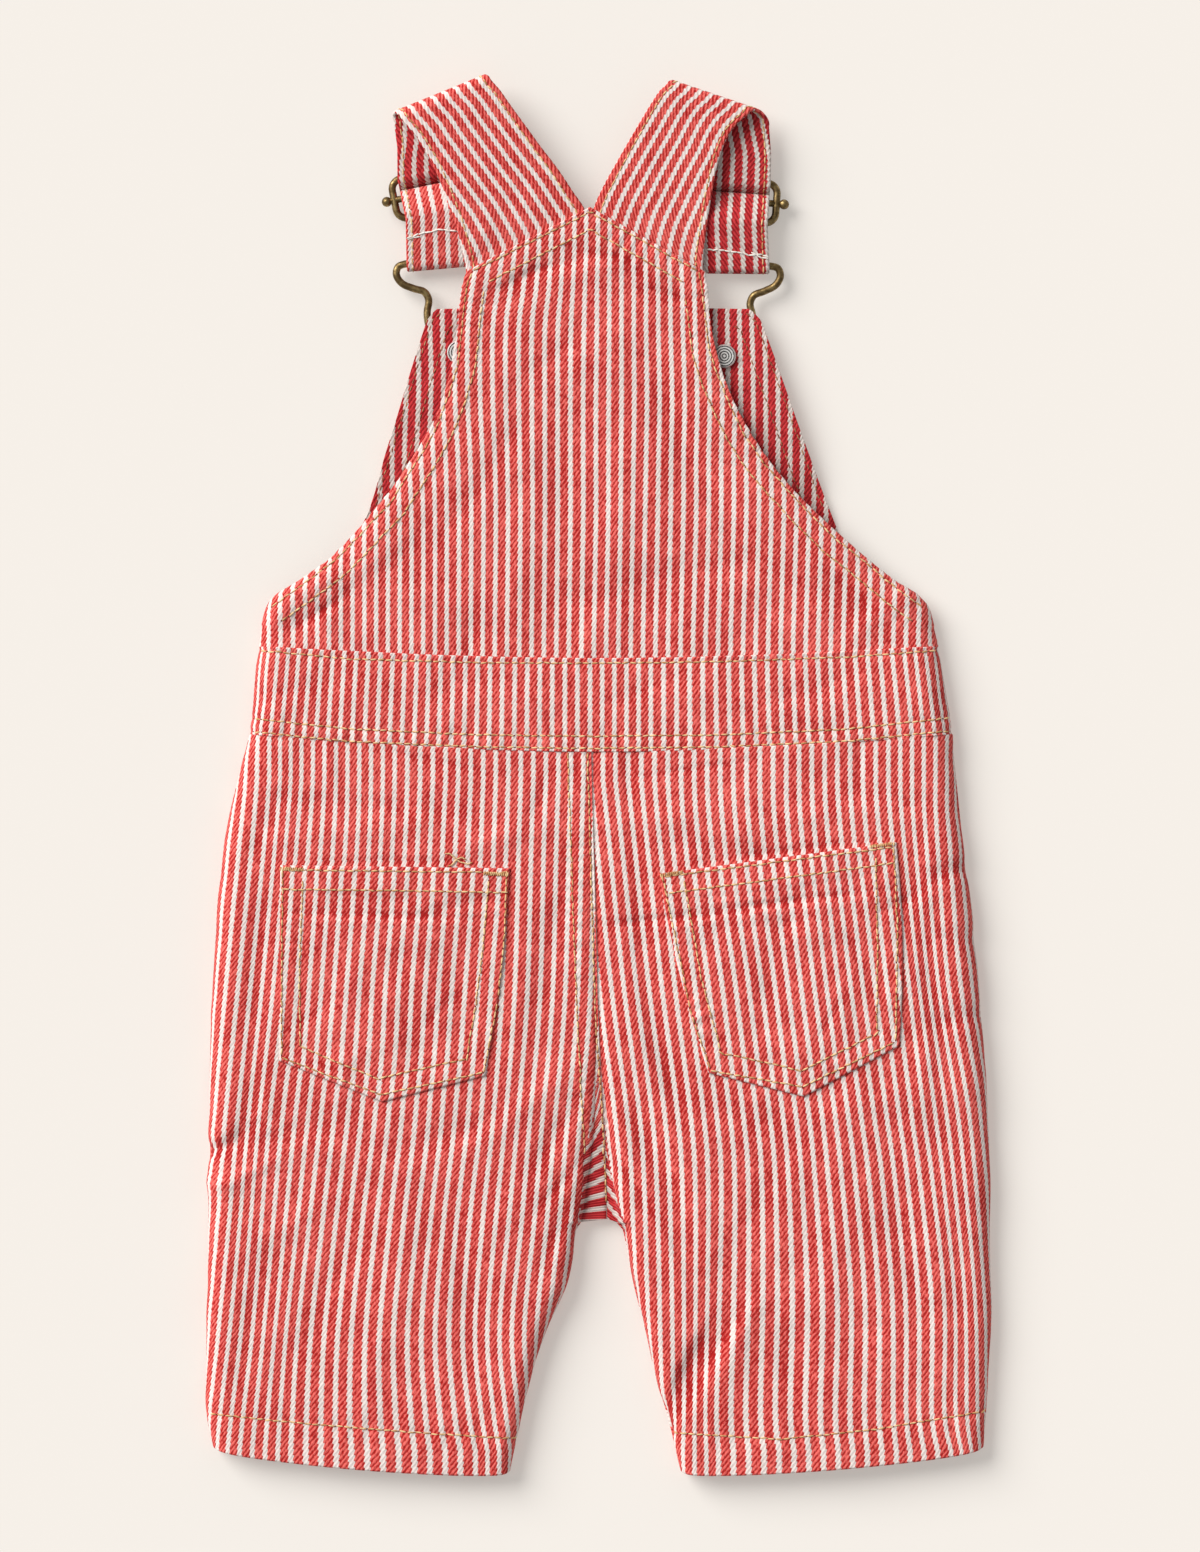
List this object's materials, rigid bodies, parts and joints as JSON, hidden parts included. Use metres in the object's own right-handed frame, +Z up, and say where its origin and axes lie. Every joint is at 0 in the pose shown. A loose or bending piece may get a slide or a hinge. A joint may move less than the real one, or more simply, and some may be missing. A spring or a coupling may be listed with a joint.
{
  "type": "dungaree shorts",
  "caption": "Toddler dungaree shorts in striped cotton, laid flat on the front with the back up, straps folded over and hooked to the front bib.",
  "frame": {"origin": "centre of the bounding box, on the surface the garment lies on", "axes": "+X to the wearer's right, +Y from the hems toward the shoulders, +Z up out of the surface; the garment lies on its front"},
  "size_m": [0.2985, 0.532, 0.0156],
  "materials": {
    "striped_cotton": "matt cotton twill, red and off-white stripes",
    "antique_brass": "dark antique satin",
    "button_steel": "turned, satin"
  },
  "bodies": {
    "root": {"back_bib": "striped_cotton", "front_bib": "striped_cotton", "waistband_back": "striped_cotton", "waistband_front": "striped_cotton", "back_left": "striped_cotton", "back_right": "striped_cotton", "front_left": "striped_cotton", "front_right": "striped_cotton", "pocket_left": "striped_cotton", "pocket_right": "striped_cotton", "strap_left": "striped_cotton", "strap_right": "striped_cotton", "slider_left": "antique_brass", "slider_right": "antique_brass", "hook_left": "antique_brass", "hook_right": "antique_brass", "button_left": "button_steel", "button_right": "button_steel"}
  },
  "joints": []
}
